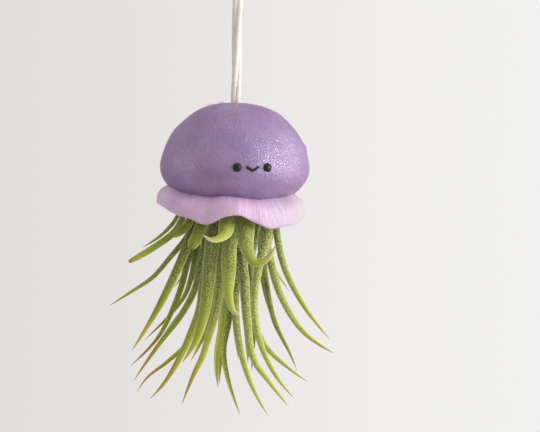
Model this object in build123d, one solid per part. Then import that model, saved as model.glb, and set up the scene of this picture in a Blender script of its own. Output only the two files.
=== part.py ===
from build123d import *
import math
import os

os.makedirs("parts", exist_ok=True)

# A hollow clay jellyfish that hangs by its crown on a cotton cord and holds an air plant,
# upside down, in the mouth under its bell. Millimetres, +Z up, the face looks along -Y.
# The origin is the inside top of the hanging loop, where the hook or nail goes.

# The cord
CORD_DIAMETER = 3.5
LOOP_RADIUS = 7.6              # of the cord's middle, where it goes over the hook
LOOP_HEIGHT = 30.0             # from the inside top of the loop down to its knot
LINE_LENGTH = 38.0             # of taut cord between the loop's knot and the crown
KNOT_WIDTH = 11.0              # both knots, across their wraps
LOOP_KNOT_HEIGHT = 9.0
STOP_KNOT_HEIGHT = 7.5
TAIL_LENGTH = 9.0              # the cut end that stands out of each knot
LOOP_KNOT_WRAPS = 3
STOP_KNOT_WRAPS = 2
LOOP_TAIL_LIE = (60, 5)        # its turn from the face and its fall from level, in degrees
STOP_TAIL_LIE = (100, 22)

# The bell
BELL_WIDTH = 52.2
BELL_HEIGHT = 31.9             # from the crown down to the flat round the mouth
BELL_WALL = 4.0
CEILING_WIDTH = 15.0           # the flat inside the crown that bears on the stop knot
MOUTH_WIDTH = 33.4
LIP_HEIGHT = 2.4               # the straight band inside the mouth
CORD_CLEARANCE = 0.3           # round the cord in its hole, and between the bell and the stop knot

# The skirt
SKIRT_THICKNESS = 1.2
SKIRT_SETBACK = 0.9            # of its inner edge from the mouth
SKIRT_SEAT = 2.3               # the width of the flat ring that is pressed on to the bell
UNDERSIDE_MARGIN = 0.3         # of the bell's flat underside, outside that ring
SKIRT_REACH = 27.4             # from the middle to its furthest edge
SKIRT_DROP = 10.5              # from the bell's underside to its lowest edge

# The face and the crown's spots
FACE_DROP = 21.2               # below the crown
EYE_WIDTH = 3.0
EYE_HEIGHT = 1.0               # how far each eye stands out
EYE_SPACING = 10.3             # between the middles of the eyes
SMILE_WIDTH = 4.0
SMILE_DROP = 1.25
SMILE_THICKNESS = 0.8
SPOT_WIDTH = 3.4
SPOT_HEIGHT = 1.0

# The plant
PLANT_TURN = -15.0             # degrees about the cord, from the face to the plant's own front
BASE_WIDTH = 18.0              # the bulb of wrapped leaf bases
BASE_DROP = 23.5               # from the crown down to the middle of the bulb
PLANT_SPREAD = 40.0            # from the middle out to the leaf tips, roughly
PLANT_LENGTH = 80.0            # from the mouth down to the lowest tip
LEAF_WIDTH = 5.6               # of the widest leaf
LEAF_ROOT = 1.0                # how far a leaf starts inside the bulb's outline, before it is trimmed to it
PLANT_CLEARANCE = 0.45         # between the outer leaves and the lip that they wedge in
FRONT_TWIST = 50.0             # degrees that a leaf at the side turns its back to the plant's front
REAR_TWIST = 35.0              # degrees that a leaf behind turns its channel to it
REAR_TURN = 110.0              # the turn from the plant's front beyond which a leaf counts as behind

# Heights that follow
CORD_RADIUS = CORD_DIAMETER / 2
KNOT_RADIUS = KNOT_WIDTH / 2
LOOP_KNOT_TOP = -LOOP_HEIGHT
LOOP_KNOT_BOTTOM = LOOP_KNOT_TOP - LOOP_KNOT_HEIGHT
CROWN = LOOP_KNOT_BOTTOM - LINE_LENGTH
CEILING = CROWN - BELL_WALL
STOP_KNOT_TOP = CEILING - CORD_CLEARANCE
UNDERSIDE = CROWN - BELL_HEIGHT
MOUTH_RADIUS = MOUTH_WIDTH / 2
BELL_RADIUS = BELL_WIDTH / 2
SKIRT_INNER = MOUTH_RADIUS + SKIRT_SETBACK
SKIRT_SEAT_END = SKIRT_INNER + SKIRT_SEAT
UNDERSIDE_RADIUS = SKIRT_SEAT_END + UNDERSIDE_MARGIN

# The route of the cord's loop, chosen by hand: up out of the knot, over the hook and back.
LOOP_ROUTE = [
    (1.75, 0, -30.6),
    (8.6, 0, -5.1),
    (4.6, 0, 1.75),
    (-4.6, 0, 1.75),
    (-8.6, 0, -5.1),
    (-1.75, 0, -30.6),
]

# The bell's outline above its flat underside: share of its half width, share of its height below the crown.
BELL_OUTLINE_SHARES = [
    (0.17, 0.008),
    (0.37, 0.04),
    (0.53, 0.09),
    (0.70, 0.195),
    (0.80, 0.29),
    (0.88, 0.40),
    (0.95, 0.53),
    (0.99, 0.64),
    (1.0, 0.70),
    (0.985, 0.785),
    (0.935, 0.868),
    (0.86, 0.94),
]

# The skirt's edge at each turn from the face, in degrees: share of its reach, share of its drop.
SKIRT_SHARES = {
    1: (0.92, 0.66),
    9: (0.915, 0.80),
    17: (0.90, 0.92),
    28: (0.91, 0.88),
    41: (0.92, 0.83),
    55: (0.91, 0.78),
    70: (0.90, 0.69),
    92: (0.92, 0.54),
    108: (0.98, 0.32),
    124: (0.95, 0.55),
    140: (0.91, 0.84),
    156: (0.93, 0.68),
    172: (1.0, 0.36),
    188: (0.94, 0.58),
    204: (0.91, 0.88),
    220: (0.93, 0.70),
    238: (0.95, 0.44),
    260: (0.98, 0.31),
    282: (0.955, 0.41),
    296: (0.95, 0.54),
    309: (0.93, 0.63),
    325: (0.92, 0.81),
    342: (0.95, 0.50),
    350: (0.955, 0.455),
}

# Where its top surface turns down, as a start and a rise with the edge's drop share: out as a share of
# the way from seat to edge, down as a share of the skirt's drop.
SHOULDER_OUT_SHARES = (0.45, 0.38)
SHOULDER_DOWN_SHARES = (-0.13, 0.49)

# The spots: turn from the face in degrees, share of the bell's half width, share of the spot's width.
SPOT_SHARES = [
    (220, 0.42, 0.85),
    (207, 0.27, 1.0),
]

# The four whorls of leaves on the bulb: the angle up from its foot in degrees, and how far from the
# middle its leaves pass the mouth, as a share of the mouth's half width (the outer ones touch the lip).
WHORL_SHARES = {
    "outer": (88, 1.0),
    "second": (62, 0.64),
    "third": (38, 0.40),
    "inner": (14, 0.16),
}

# Each leaf: its whorl, its turn from the plant's front in degrees, its width as a share of the widest,
# and the places it passes below the mouth, as shares of the plant's spread (across, forward) and of its
# length (down).
LEAF_SHARES = {
    "leaf_01": ("outer", -88, 0.42, [(-0.54, 0.03, 0.14), (-0.64, 0.03, 0.19), (-0.79, 0.03, 0.24)]),
    "leaf_02": ("outer", -67, 0.46, [(-0.50, 0.20, 0.16), (-0.68, 0.25, 0.23), (-0.88, 0.28, 0.29)]),
    "leaf_03": ("outer", -49, 0.60, [(-0.41, 0.33, 0.14), (-0.50, 0.38, 0.17)]),
    "leaf_04": ("outer", -30, 0.78, [(-0.28, 0.45, 0.15), (-0.335, 0.56, 0.21)]),
    "leaf_05": ("outer", -9, 0.78, [(-0.04, 0.47, 0.11), (-0.08, 0.60, 0.16), (-0.16, 0.64, 0.17),
                                    (-0.23, 0.62, 0.15)]),
    "leaf_06": ("outer", 15, 1.10, [(0.115, 0.47, 0.12), (0.135, 0.57, 0.21), (0.205, 0.60, 0.262),
                                    (0.29, 0.60, 0.25), (0.37, 0.57, 0.19)]),
    "leaf_07": ("outer", 40, 0.80, [(0.29, 0.35, 0.16), (0.23, 0.40, 0.30), (0.20, 0.45, 0.43),
                                    (0.27, 0.53, 0.62), (0.41, 0.57, 0.75), (0.55, 0.60, 0.83)]),
    "leaf_08": ("outer", 66, 0.46, [(0.378, 0.175, 0.153), (0.448, 0.2, 0.299), (0.61, 0.225, 0.456),
                                    (0.854, 0.25, 0.609)]),
    "leaf_09": ("outer", 92, 0.39, [(0.321, -0.05, 0.254), (0.387, -0.15, 0.349), (0.452, -0.225, 0.4),
                                    (0.508, -0.275, 0.444)]),
    "leaf_10": ("outer", -112, 0.46, [(-0.39, -0.23, 0.29), (-0.48, -0.35, 0.40), (-0.55, -0.40, 0.45)]),
    "leaf_11": ("outer", -136, 0.46, [(-0.343, -0.325, 0.277), (-0.391, -0.425, 0.404),
                                      (-0.446, -0.475, 0.485), (-0.529, -0.512, 0.549),
                                      (-0.643, -0.55, 0.616), (-0.823, -0.6, 0.709)]),
    "leaf_12": ("outer", -160, 0.72, [(-0.18, -0.42, 0.28), (-0.20, -0.57, 0.51), (-0.28, -0.70, 0.69),
                                      (-0.40, -0.78, 0.82)]),
    "leaf_13": ("outer", 176, 0.85, [(-0.06, -0.47, 0.28), (-0.06, -0.68, 0.42), (-0.05, -0.85, 0.53),
                                     (-0.04, -1.00, 0.60)]),
    "leaf_14": ("outer", 150, 0.75, [(0.08, -0.45, 0.28), (0.12, -0.62, 0.61), (0.14, -0.72, 0.82)]),
    "leaf_15": ("outer", 122, 0.65, [(0.253, -0.3, 0.269), (0.296, -0.4, 0.449), (0.341, -0.475, 0.537),
                                     (0.404, -0.55, 0.626), (0.522, -0.625, 0.745)]),
    "leaf_16": ("second", -88, 0.43, [(-0.41, 0.05, 0.194), (-0.544, 0.075, 0.279),
                                      (-0.695, 0.075, 0.369), (-0.874, 0.075, 0.432),
                                      (-1.068, 0.075, 0.497)]),
    "leaf_17": ("second", -55, 0.60, [(-0.34, 0.23, 0.15), (-0.42, 0.30, 0.25), (-0.53, 0.38, 0.38),
                                      (-0.66, 0.45, 0.51), (-0.82, 0.50, 0.65)]),
    "leaf_18": ("second", -20, 0.93, [(-0.17, 0.35, 0.21), (-0.19, 0.42, 0.35), (-0.22, 0.50, 0.49),
                                      (-0.29, 0.55, 0.61), (-0.39, 0.57, 0.69)]),
    "leaf_19": ("second", 12, 0.95, [(-0.02, 0.38, 0.21), (-0.02, 0.45, 0.33), (-0.01, 0.53, 0.42),
                                     (0.03, 0.57, 0.47), (0.09, 0.60, 0.49)]),
    "leaf_20": ("second", 50, 0.50, [(0.307, 0.2, 0.231), (0.428, 0.2, 0.43), (0.625, 0.2, 0.583),
                                     (0.898, 0.2, 0.676)]),
    "leaf_21": ("second", 86, 0.50, [(0.27, -0.05, 0.30), (0.31, -0.07, 0.43), (0.38, -0.10, 0.57),
                                     (0.52, -0.12, 0.71), (0.59, -0.15, 0.79)]),
    "leaf_22": ("second", 124, 0.66, [(0.15, -0.23, 0.31), (0.19, -0.30, 0.53), (0.19, -0.35, 0.70),
                                      (0.18, -0.38, 0.82)]),
    "leaf_23": ("second", 162, 0.72, [(-0.05, -0.33, 0.32), (-0.06, -0.42, 0.59), (-0.11, -0.47, 0.78),
                                      (-0.12, -0.50, 0.90)]),
    "leaf_24": ("second", -157, 0.52, [(-0.279, -0.3, 0.266), (-0.319, -0.35, 0.36),
                                       (-0.351, -0.4, 0.446), (-0.428, -0.438, 0.533),
                                       (-0.515, -0.462, 0.589), (-0.634, -0.475, 0.668)]),
    "leaf_25": ("second", -122, 0.48, [(-0.409, -0.175, 0.314), (-0.46, -0.225, 0.421),
                                       (-0.544, -0.275, 0.538), (-0.65, -0.3, 0.65),
                                       (-0.921, -0.3, 0.803)]),
    "leaf_26": ("third", -80, 0.52, [(-0.27, 0.00, 0.30), (-0.35, -0.07, 0.45), (-0.47, -0.10, 0.56),
                                     (-0.63, -0.12, 0.67), (-0.87, -0.12, 0.85)]),
    "leaf_27": ("third", -28, 0.64, [(-0.194, 0.175, 0.238), (-0.238, 0.225, 0.387),
                                     (-0.266, 0.275, 0.492), (-0.339, 0.3, 0.595),
                                     (-0.449, 0.325, 0.715), (-0.565, 0.35, 0.81), (-0.675, 0.35, 0.874)]),
    "leaf_28": ("third", 24, 0.61, [(0.07, 0.20, 0.21), (0.11, 0.23, 0.36), (0.14, 0.28, 0.53),
                                    (0.22, 0.35, 0.71), (0.33, 0.38, 0.78), (0.51, 0.40, 0.89)]),
    "leaf_29": ("third", 76, 0.50, [(0.153, 0.05, 0.329), (0.197, 0.05, 0.55), (0.289, 0.05, 0.655),
                                    (0.493, 0.05, 0.754), (0.682, 0.05, 0.82)]),
    "leaf_30": ("third", 128, 0.66, [(0.04, -0.12, 0.31), (0.03, -0.23, 0.62), (0.06, -0.25, 0.75)]),
    "leaf_31": ("third", 180, 0.72, [(-0.082, -0.175, 0.346), (-0.093, -0.25, 0.61),
                                     (-0.131, -0.275, 0.718), (-0.139, -0.275, 0.801),
                                     (-0.121, -0.275, 0.888)]),
    "leaf_32": ("third", -132, 0.48, [(-0.21, -0.15, 0.31), (-0.26, -0.17, 0.53), (-0.38, -0.17, 0.67),
                                      (-0.58, -0.20, 0.77), (-0.77, -0.20, 0.85), (-0.85, -0.20, 0.91)]),
    "leaf_33": ("inner", -60, 0.64, [(-0.101, 0.05, 0.297), (-0.121, 0.075, 0.462),
                                     (-0.157, 0.075, 0.551), (-0.198, 0.075, 0.627),
                                     (-0.25, 0.075, 0.716), (-0.316, 0.075, 0.788),
                                     (-0.422, 0.075, 0.928)]),
    "leaf_34": ("inner", 60, 0.57, [(0.047, 0.05, 0.295), (0.028, 0.075, 0.461), (0.046, 0.1, 0.569),
                                    (0.085, 0.125, 0.677), (0.16, 0.15, 0.795), (0.259, 0.175, 0.896),
                                    (0.34, 0.175, 0.961)]),
    "leaf_35": ("inner", 180, 0.52, [(-0.03, -0.05, 0.30), (-0.03, -0.07, 0.56), (-0.07, -0.07, 0.70),
                                     (-0.03, -0.07, 0.82), (0.02, -0.07, 0.90), (0.09, -0.07, 0.99)]),
}

# A leaf along its length: share of the length, share of its own width.
LEAF_TAPER_SHARES = [
    (0.0, 0.45),
    (0.08, 0.72),
    (0.18, 0.92),
    (0.32, 1.0),
    (0.5, 0.92),
    (0.68, 0.76),
    (0.82, 0.55),
    (0.93, 0.30),
    (1.0, 0.12),
]

# A leaf's channelled section, as shares of its width there.
LEAF_BACK_SHARE = 0.34         # the height of its rounded back
LEAF_CHANNEL_SHARE = 0.12      # the depth of its channel
LEAF_EDGE_SHARE = 0.10         # the thickness of its margins
LEAF_SECTIONS = 15             # sections along each leaf
TWIST_DROP_SHARE = 0.15        # the drop below the mouth in which its twist grows, of the plant's length

# How far a knot's end wraps lie in from its ends, as a share of the cord's radius
WRAP_INSET_SHARE = 1.2


def toward(turn):
    """The level direction at a turn in degrees from the face, counted anticlockwise from above."""
    angle = math.radians(turn)
    return Vector(math.sin(angle), -math.cos(angle), 0)


def around(turn, radius, height):
    """A point at a turn from the face, a distance from the cord and a height."""
    return toward(turn) * radius + Vector(0, 0, height)


def write(name, shape):
    """Write one node."""
    shape.label = name
    export_step(shape, "parts/" + name + ".step")


# The bell: a shell of even wall, turned about the cord, with a flat ceiling and a straight lip
def bell_outline():
    """The outer line from the crown to the edge of the flat underside."""
    side = [(across * BELL_RADIUS, CROWN - down * BELL_HEIGHT) for across, down in BELL_OUTLINE_SHARES]
    return [(0, CROWN)] + side + [(UNDERSIDE_RADIUS, UNDERSIDE)]


def inset(points, distance):
    """The same line of points, moved square to itself, towards the inside."""
    moved = []
    for index in range(1, len(points) - 1):
        before = points[index - 1]
        after = points[index + 1]
        run = Vector(after[0] - before[0], after[1] - before[1])
        side = Vector(run.Y, -run.X).normalized() * distance
        moved.append((points[index][0] + side.X, points[index][1] + side.Y))
    return moved


def make_bell_form():
    """The bell's outside as one filled body, which trims what is pressed on to it."""
    outer = bell_outline()
    with BuildSketch(Plane.XZ) as profile:
        with BuildLine():
            Spline(*outer, tangents=[(1, 0), (-1, -1)])
            Line(outer[-1], (0, UNDERSIDE))
            Line((0, UNDERSIDE), (0, CROWN))
        make_face()
    seam_turn = 90  # to the back, away from the face
    return Rot(0, 0, seam_turn) * revolve(profile.sketch, Axis.Z)


def make_bell():
    outer = bell_outline()
    inner_edge = (MOUTH_RADIUS, UNDERSIDE + LIP_HEIGHT)
    ceiling_end = (CEILING_WIDTH / 2, CEILING)
    hollow = [point for point in inset(outer, BELL_WALL) if point[0] > ceiling_end[0] + BELL_WALL / 2]
    hollow = [point for point in hollow if point[0] > inner_edge[0] or point[1] > inner_edge[1] + LIP_HEIGHT]
    with BuildSketch(Plane.XZ) as profile:
        with BuildLine():
            Spline(*outer, tangents=[(1, 0), (-1, -1)])
            Line(outer[-1], (MOUTH_RADIUS, UNDERSIDE))
            Line((MOUTH_RADIUS, UNDERSIDE), inner_edge)
            Spline(*([inner_edge] + hollow[::-1] + [ceiling_end]), tangents=[(1, 1), (-1, 0)])
            Line(ceiling_end, (0, CEILING))
            Line((0, CEILING), (0, CROWN))
        make_face()
    shell = revolve(profile.sketch, Axis.Z)
    hole = Pos(0, 0, CEILING) * Cylinder(CORD_RADIUS + CORD_CLEARANCE, 2 * (BELL_WALL + CORD_DIAMETER))
    return shell - hole


bell_form = make_bell_form()
write("bell", make_bell())


# The skirt: one ruffled sheet, lofted all round through its radial sections
def skirt_section(turn, reach_share, drop_share):
    """The outline of the sheet cut at one turn: flat on the bell, over its shoulder and down to the edge."""
    reach = reach_share * SKIRT_REACH
    edge = Vector(reach, UNDERSIDE - drop_share * SKIRT_DROP)
    out_share = SHOULDER_OUT_SHARES[0] + SHOULDER_OUT_SHARES[1] * drop_share
    down_share = SHOULDER_DOWN_SHARES[0] + SHOULDER_DOWN_SHARES[1] * drop_share
    seat = Vector(SKIRT_SEAT_END, UNDERSIDE)
    shoulder = Vector(seat.X + out_share * (reach - seat.X), seat.Y - down_share * SKIRT_DROP)
    chord = edge - seat
    fall = edge - shoulder
    under_shoulder = shoulder - Vector(-chord.Y, chord.X).normalized() * SKIRT_THICKNESS
    under_edge = edge - Vector(-fall.Y, fall.X).normalized() * SKIRT_THICKNESS

    def place(point):
        return around(turn, point.X, point.Y)

    start = around(turn, SKIRT_INNER, UNDERSIDE)
    under_start = around(turn, SKIRT_INNER, UNDERSIDE - SKIRT_THICKNESS)
    return Wire(
        [
            Line(start, place(seat)),
            ThreePointArc(place(seat), place(shoulder), place(edge)),
            Line(place(edge), place(under_edge)),
            ThreePointArc(place(under_edge), place(under_shoulder), under_start),
            Line(under_start, start),
        ]
    )


def make_skirt():
    sections = [skirt_section(turn, reach, drop) for turn, (reach, drop) in SKIRT_SHARES.items()]
    return Solid.make_loft(sections + [sections[0]], False)


write("skirt", make_skirt())


# The face: two balls and a rolled string of black clay, each pressed on to the bell's curve
def cap_radius(width, height):
    """The radius of the ball that stands out by this height with this width."""
    return ((width / 2) ** 2 + height ** 2) / (2 * height)


def make_eye(turn):
    radius = cap_radius(EYE_WIDTH, EYE_HEIGHT)
    middle = around(turn, BELL_RADIUS + EYE_HEIGHT - radius, CROWN - FACE_DROP)
    return Pos(middle) * Sphere(radius) - bell_form


def make_smile():
    corner = Vector(SMILE_WIDTH / 2, 0, 0)
    level = around(0, BELL_RADIUS, CROWN - FACE_DROP)
    curve = ThreePointArc(level - corner, level - Vector(0, 0, SMILE_DROP), level + corner)
    radius = SMILE_THICKNESS / 2
    string = sweep(Plane(curve @ 0, z_dir=curve % 0) * Circle(radius), path=curve)
    for end in (curve @ 0, curve @ 1):
        string += Pos(end) * Sphere(radius)
    return string - bell_form


eye_turn = math.degrees(math.asin(EYE_SPACING / BELL_WIDTH))
write("eye_left", make_eye(-eye_turn))
write("eye_right", make_eye(eye_turn))
write("smile", make_smile())


# The crown's spots: flattened dots of pale clay behind the cord
def crown_height(radius):
    """The height of the bell's outer surface near its crown, from the two outline points round it."""
    points = bell_outline()
    for (near, high), (far, low) in zip(points, points[1:]):
        if near <= radius <= far:
            return high + (low - high) * (radius - near) / (far - near)


def make_spots():
    spots = []
    for turn, out_share, size_share in SPOT_SHARES:
        width = SPOT_WIDTH * size_share
        height = SPOT_HEIGHT * size_share
        radius = cap_radius(width, height)
        middle = out_share * BELL_RADIUS
        dot = Pos(around(turn, middle, crown_height(middle) + height - radius)) * Sphere(radius)
        spots.append((dot - bell_form).solid())
    return Compound(children=spots)


write("crown_spots", make_spots())


# The cord: a loop, the two knots and the taut line that passes through the crown
def cord_tube(path):
    return sweep(Plane(path @ 0, z_dir=path % 0) * Circle(CORD_RADIUS), path=path)


def make_knot(top, height, wraps, tail_lie):
    """Wraps of cord drawn tight round the cord itself, with the cut end standing out of them."""
    tail_turn, tail_fall = tail_lie
    wrap_radius = KNOT_RADIUS - CORD_RADIUS
    knot = Pos(0, 0, top - height / 2) * Cylinder(wrap_radius, height)
    highest = top - CORD_RADIUS * WRAP_INSET_SHARE
    lowest = top - height + CORD_RADIUS * WRAP_INSET_SHARE
    for index in range(wraps):
        level = highest + (lowest - highest) * index / (wraps - 1)
        knot += Pos(0, 0, level) * Torus(wrap_radius, CORD_RADIUS)
    fall = math.radians(tail_fall)
    direction = toward(tail_turn) * math.cos(fall) - Vector(0, 0, math.sin(fall))
    root = around(tail_turn, wrap_radius / 2, top - height / 2)
    length = wrap_radius / 2 + CORD_RADIUS + TAIL_LENGTH
    tail = Plane(root, z_dir=direction) * (Pos(0, 0, length / 2) * Cylinder(CORD_RADIUS, length))
    return knot + tail


loop_path = FilletPolyline(*LOOP_ROUTE, radius=LOOP_RADIUS)
loop_tube = cord_tube(loop_path)
loop_knot = make_knot(LOOP_KNOT_TOP, LOOP_KNOT_HEIGHT, LOOP_KNOT_WRAPS, LOOP_TAIL_LIE)
write("cord_loop", loop_tube - loop_knot)
write("loop_knot", loop_knot)
line_path = Line((0, 0, LOOP_KNOT_BOTTOM), (0, 0, STOP_KNOT_TOP))
write("cord_line", cord_tube(line_path))
write("stop_knot", make_knot(STOP_KNOT_TOP, STOP_KNOT_HEIGHT, STOP_KNOT_WRAPS, STOP_TAIL_LIE))

# The plant: a bulb of wrapped leaf bases inside the bell, and its leaves, each trimmed to the bulb
bulb = Pos(0, 0, CROWN - BASE_DROP) * Sphere(BASE_WIDTH / 2)
write("plant_base", bulb)


def leaf_way(whorl, turn, width, places):
    """The middle of a leaf, from inside the bulb past the mouth and through its places below it."""
    climb, mouth_share = WHORL_SHARES[whorl]
    angle = math.radians(climb)
    root_radius = BASE_WIDTH / 2 - LEAF_ROOT
    heading = turn + PLANT_TURN
    root = around(heading, root_radius * math.sin(angle), CROWN - BASE_DROP - root_radius * math.cos(angle))
    if whorl == "outer":
        passing = MOUTH_RADIUS - PLANT_CLEARANCE - LEAF_BACK_SHARE * width
    else:
        passing = mouth_share * MOUTH_RADIUS
    below = [
        toward(PLANT_TURN + 90) * (across * PLANT_SPREAD)
        + toward(PLANT_TURN) * (forward * PLANT_SPREAD)
        + Vector(0, 0, UNDERSIDE - down * PLANT_LENGTH)
        for across, forward, down in places
    ]
    return Spline(root, around(heading, passing, UNDERSIDE), *below)


def taper(share):
    """How wide a leaf is at a share of its length, as a share of its full width."""
    for (near, wide), (far, narrow) in zip(LEAF_TAPER_SHARES, LEAF_TAPER_SHARES[1:]):
        if share <= far:
            return wide + (narrow - wide) * (share - near) / (far - near)
    return LEAF_TAPER_SHARES[-1][1]


def leaf_section(middle, side, back, width):
    """A channelled section: rounded back, thin margins, hollow front."""
    half = side * (width / 2)
    margin = back * (width * LEAF_EDGE_SHARE / 2)
    crest = middle + back * (width * LEAF_BACK_SHARE)
    channel = middle + back * (width * LEAF_CHANNEL_SHARE)
    left = middle - half
    right = middle + half
    return Wire(
        [
            ThreePointArc(left + margin, crest, right + margin),
            Line(right + margin, right - margin),
            ThreePointArc(right - margin, channel, left - margin),
            Line(left - margin, left + margin),
        ]
    )


def leaf_twist(turn, drop):
    """How far a leaf has turned about its own length at a drop below the mouth, in degrees."""
    grown = min(1, max(0, drop / (TWIST_DROP_SHARE * PLANT_LENGTH)))
    most = FRONT_TWIST if abs(turn) < REAR_TURN else -REAR_TWIST
    return most * math.sin(math.radians(turn)) * grown


def make_leaf(whorl, turn, width_share, places):
    width = width_share * LEAF_WIDTH
    way = leaf_way(whorl, turn, width, places)
    side = toward(turn + PLANT_TURN + 90)
    sections = []
    for index in range(LEAF_SECTIONS):
        share = index / (LEAF_SECTIONS - 1)
        middle = way.position_at(share * way.length, position_mode=PositionMode.LENGTH)
        along = way.tangent_at(share * way.length, position_mode=PositionMode.LENGTH)
        side = (side - along * side.dot(along)).normalized()
        twist = math.radians(leaf_twist(turn, UNDERSIDE - middle.Z))
        across = side * math.cos(twist) + along.cross(side) * math.sin(twist)
        sections.append(leaf_section(middle, across, along.cross(across), width * taper(share)))
    return Solid.make_loft(sections, False) - bulb


for name, (whorl, turn, width_share, places) in LEAF_SHARES.items():
    write(name, make_leaf(whorl, turn, width_share, places))

# The cord's arcs and tubes, for the record
section_area = math.pi * CORD_RADIUS ** 2
print("cord loop: arcs of radius", LOOP_RADIUS, "length", round(loop_path.length, 1), "mm")
tube_share = loop_tube.volume / (section_area * loop_path.length)
print("cord loop: volume over section times length", round(tube_share, 4))
print("cord line: straight, length", round(line_path.length, 1), "mm")
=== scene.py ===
import random
from math import asin, cos, degrees, exp, pi, radians, sin, sqrt, tau
import bpy
from mathutils import Matrix, Vector, noise


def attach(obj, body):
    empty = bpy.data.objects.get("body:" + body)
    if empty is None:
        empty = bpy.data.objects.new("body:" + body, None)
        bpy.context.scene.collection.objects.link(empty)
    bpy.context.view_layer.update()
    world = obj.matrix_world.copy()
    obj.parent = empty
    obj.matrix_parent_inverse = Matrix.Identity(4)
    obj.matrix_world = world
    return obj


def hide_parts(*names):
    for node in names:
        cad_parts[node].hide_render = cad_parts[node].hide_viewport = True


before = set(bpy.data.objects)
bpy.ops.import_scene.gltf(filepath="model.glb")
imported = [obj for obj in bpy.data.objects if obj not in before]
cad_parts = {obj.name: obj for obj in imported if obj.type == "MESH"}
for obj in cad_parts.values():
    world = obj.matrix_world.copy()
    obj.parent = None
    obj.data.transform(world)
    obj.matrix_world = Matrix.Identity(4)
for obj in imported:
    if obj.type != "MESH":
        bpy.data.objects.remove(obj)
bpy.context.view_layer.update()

# The view. The photographer stands a little to the left of the face and hardly above the bell, and the
# picture leans by about a degree, so the hanging cord does too.
bpy.context.scene.view_settings.view_transform = "Standard"
CROWN = -0.077                  # height of the bell's crown
VIEW_TURN = -15
VIEW_CLIMB = radians(5)
VIEW_LEAN = radians(1.2)
VIEW_DISTANCE = 0.45
VIEW_DROP = 0.0393              # from the crown down to the middle of the picture
VIEW_SHIFT = 0.01273            # from the cord to it, to the right


def toward(turn):
    """The level direction at a turn in degrees from the face, anticlockwise from above."""
    return Vector((sin(radians(turn)), -cos(radians(turn)), 0))


def placed(turn, out, height):
    """The place at a turn, a distance out from the cord and a height."""
    return toward(turn) * out + Vector((0, 0, height))


def set_down(name, data):
    """A new object in the scene."""
    item = bpy.data.objects.new(name, data)
    bpy.context.scene.collection.objects.link(item)
    return item


view_right = toward(VIEW_TURN + 90)
view_back = placed(VIEW_TURN, cos(VIEW_CLIMB), sin(VIEW_CLIMB))
view_up = view_back.cross(view_right)
aim = placed(VIEW_TURN + 90, VIEW_SHIFT, CROWN - VIEW_DROP)
camera = set_down("camera", bpy.data.cameras.new("camera"))
bpy.context.scene.camera = camera
camera.data.sensor_width = 36
camera.data.lens = 85.71
camera.data.clip_start = 0.01
leaning_right = view_right * cos(VIEW_LEAN) + view_up * sin(VIEW_LEAN)
leaning_up = view_up * cos(VIEW_LEAN) - view_right * sin(VIEW_LEAN)
camera.matrix_world = Matrix.Translation(aim + view_back * VIEW_DISTANCE) @ Matrix(
    (leaning_right, leaning_up, view_back)
).transposed().to_4x4()


# The room. Pale walls all round, a window at the front right that makes the shine on the bell's cheek, a
# broad pane of light beside it, and weak light back from the ceiling and from the wall at the left. The
# floor lies far below the leaves, fades out towards its rim and can't be seen from beneath.
def srgb(red, green, blue):
    """A colour as a screen shows it, 0 to 255, as the linear one that a shader takes."""
    def linear(part):
        part = part / 255
        return part / 12.92 if part <= 0.04045 else ((part + 0.055) / 1.055) ** 2.4
    return (linear(red), linear(green), linear(blue), 1)


class Wire:
    """One output inside a finish; sums on it add the nodes that work them out."""

    def __init__(self, finish, socket):
        self.finish = finish
        self.socket = socket

    def maths(self, operation, *inputs):
        return self.finish.add("Math", {"operation": operation}, dict(enumerate(inputs)))

    def __add__(self, other):
        return self.maths("ADD", self, other)

    def __sub__(self, other):
        return self.maths("SUBTRACT", self, other)

    def __rsub__(self, other):
        return self.maths("SUBTRACT", other, self)

    def __mul__(self, other):
        return self.maths("MULTIPLY", self, other)

    __radd__ = __add__

    def between(self, low, high):
        """0 below low, 1 above high and a soft step from one to the other."""
        step = {"interpolation_type": "SMOOTHSTEP"}
        return self.finish.add("MapRange", step, {"Value": self, "From Min": low, "From Max": high})


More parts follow.
